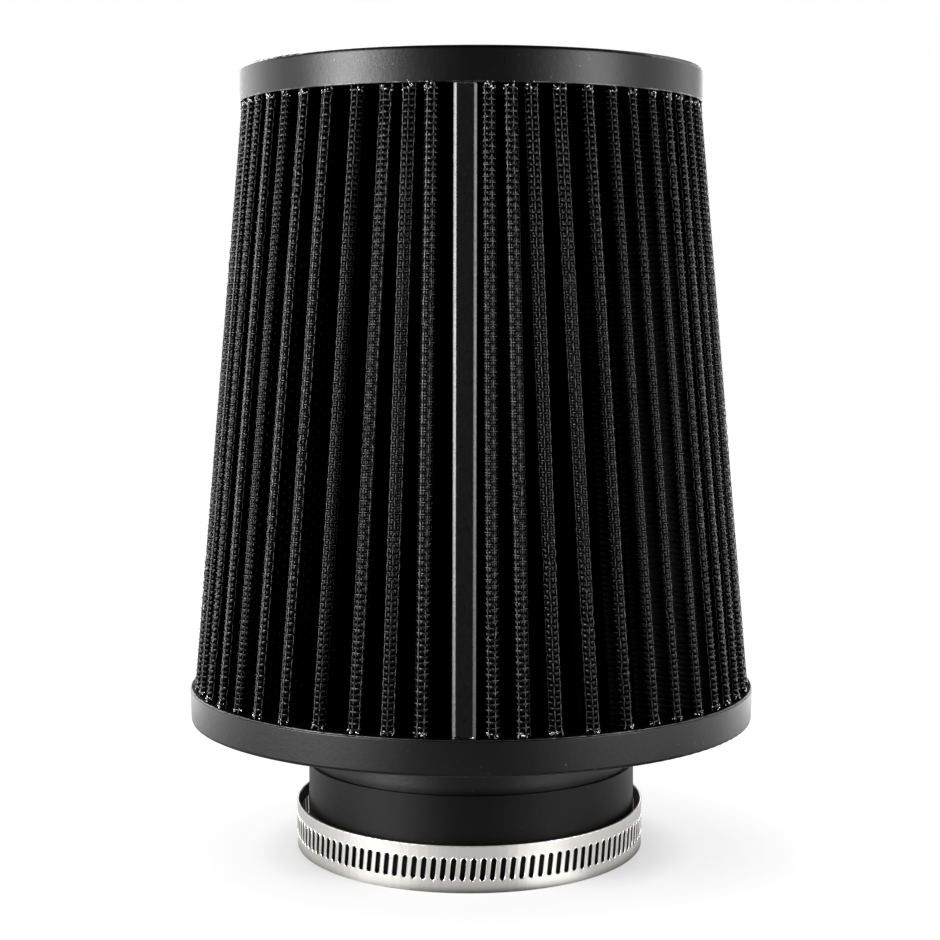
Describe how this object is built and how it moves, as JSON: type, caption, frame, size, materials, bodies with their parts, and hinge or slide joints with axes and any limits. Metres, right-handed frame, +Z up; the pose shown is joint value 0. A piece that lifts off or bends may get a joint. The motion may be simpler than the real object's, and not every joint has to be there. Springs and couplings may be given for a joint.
{
  "type": "cone air filter",
  "caption": "Clamp-on pleated cone air filter with moulded neck and end cap, wire-screened cotton pleats and a loose worm-drive band clamp.",
  "frame": {"origin": "on the axis of the cone and neck, in the plane of the neck's open end, which the filter stands on", "axes": "+Z up along the axis, from the open neck to the closed cap; -Y is the front with the seam clip, +Y is the back with the clamp's screw; +X is to the right seen from the front"},
  "size_m": [0.152, 0.152, 0.2094],
  "materials": {
    "moulding": "satin",
    "cap_moulding": "satin",
    "cotton": "matt",
    "screen": "semi-gloss",
    "inner_screen": "semi-gloss",
    "seam_clip": "satin",
    "band_steel": "fine brushed",
    "saddle_steel": "fine brushed",
    "housing_steel": "pressed",
    "screw_steel": "turned"
  },
  "bodies": {
    "filter": {"base_flange": "moulding", "end_cap": "cap_moulding", "filter_medium": "cotton", "outer_screen": "screen", "inner_screen": "inner_screen", "seam_clip": "seam_clip", "clamp_band": "band_steel", "clamp_saddle": "saddle_steel", "clamp_housing": "housing_steel"},
    "screw": {"clamp_screw": "screw_steel"}
  },
  "joints": [
    {"name": "screw_turn", "type": "hinge", "parent": "filter", "child": "screw", "pos_m": [-0.0005, 0.05114, 0.00944], "axis": [-1, 0, 0], "continuous": true}
  ]
}
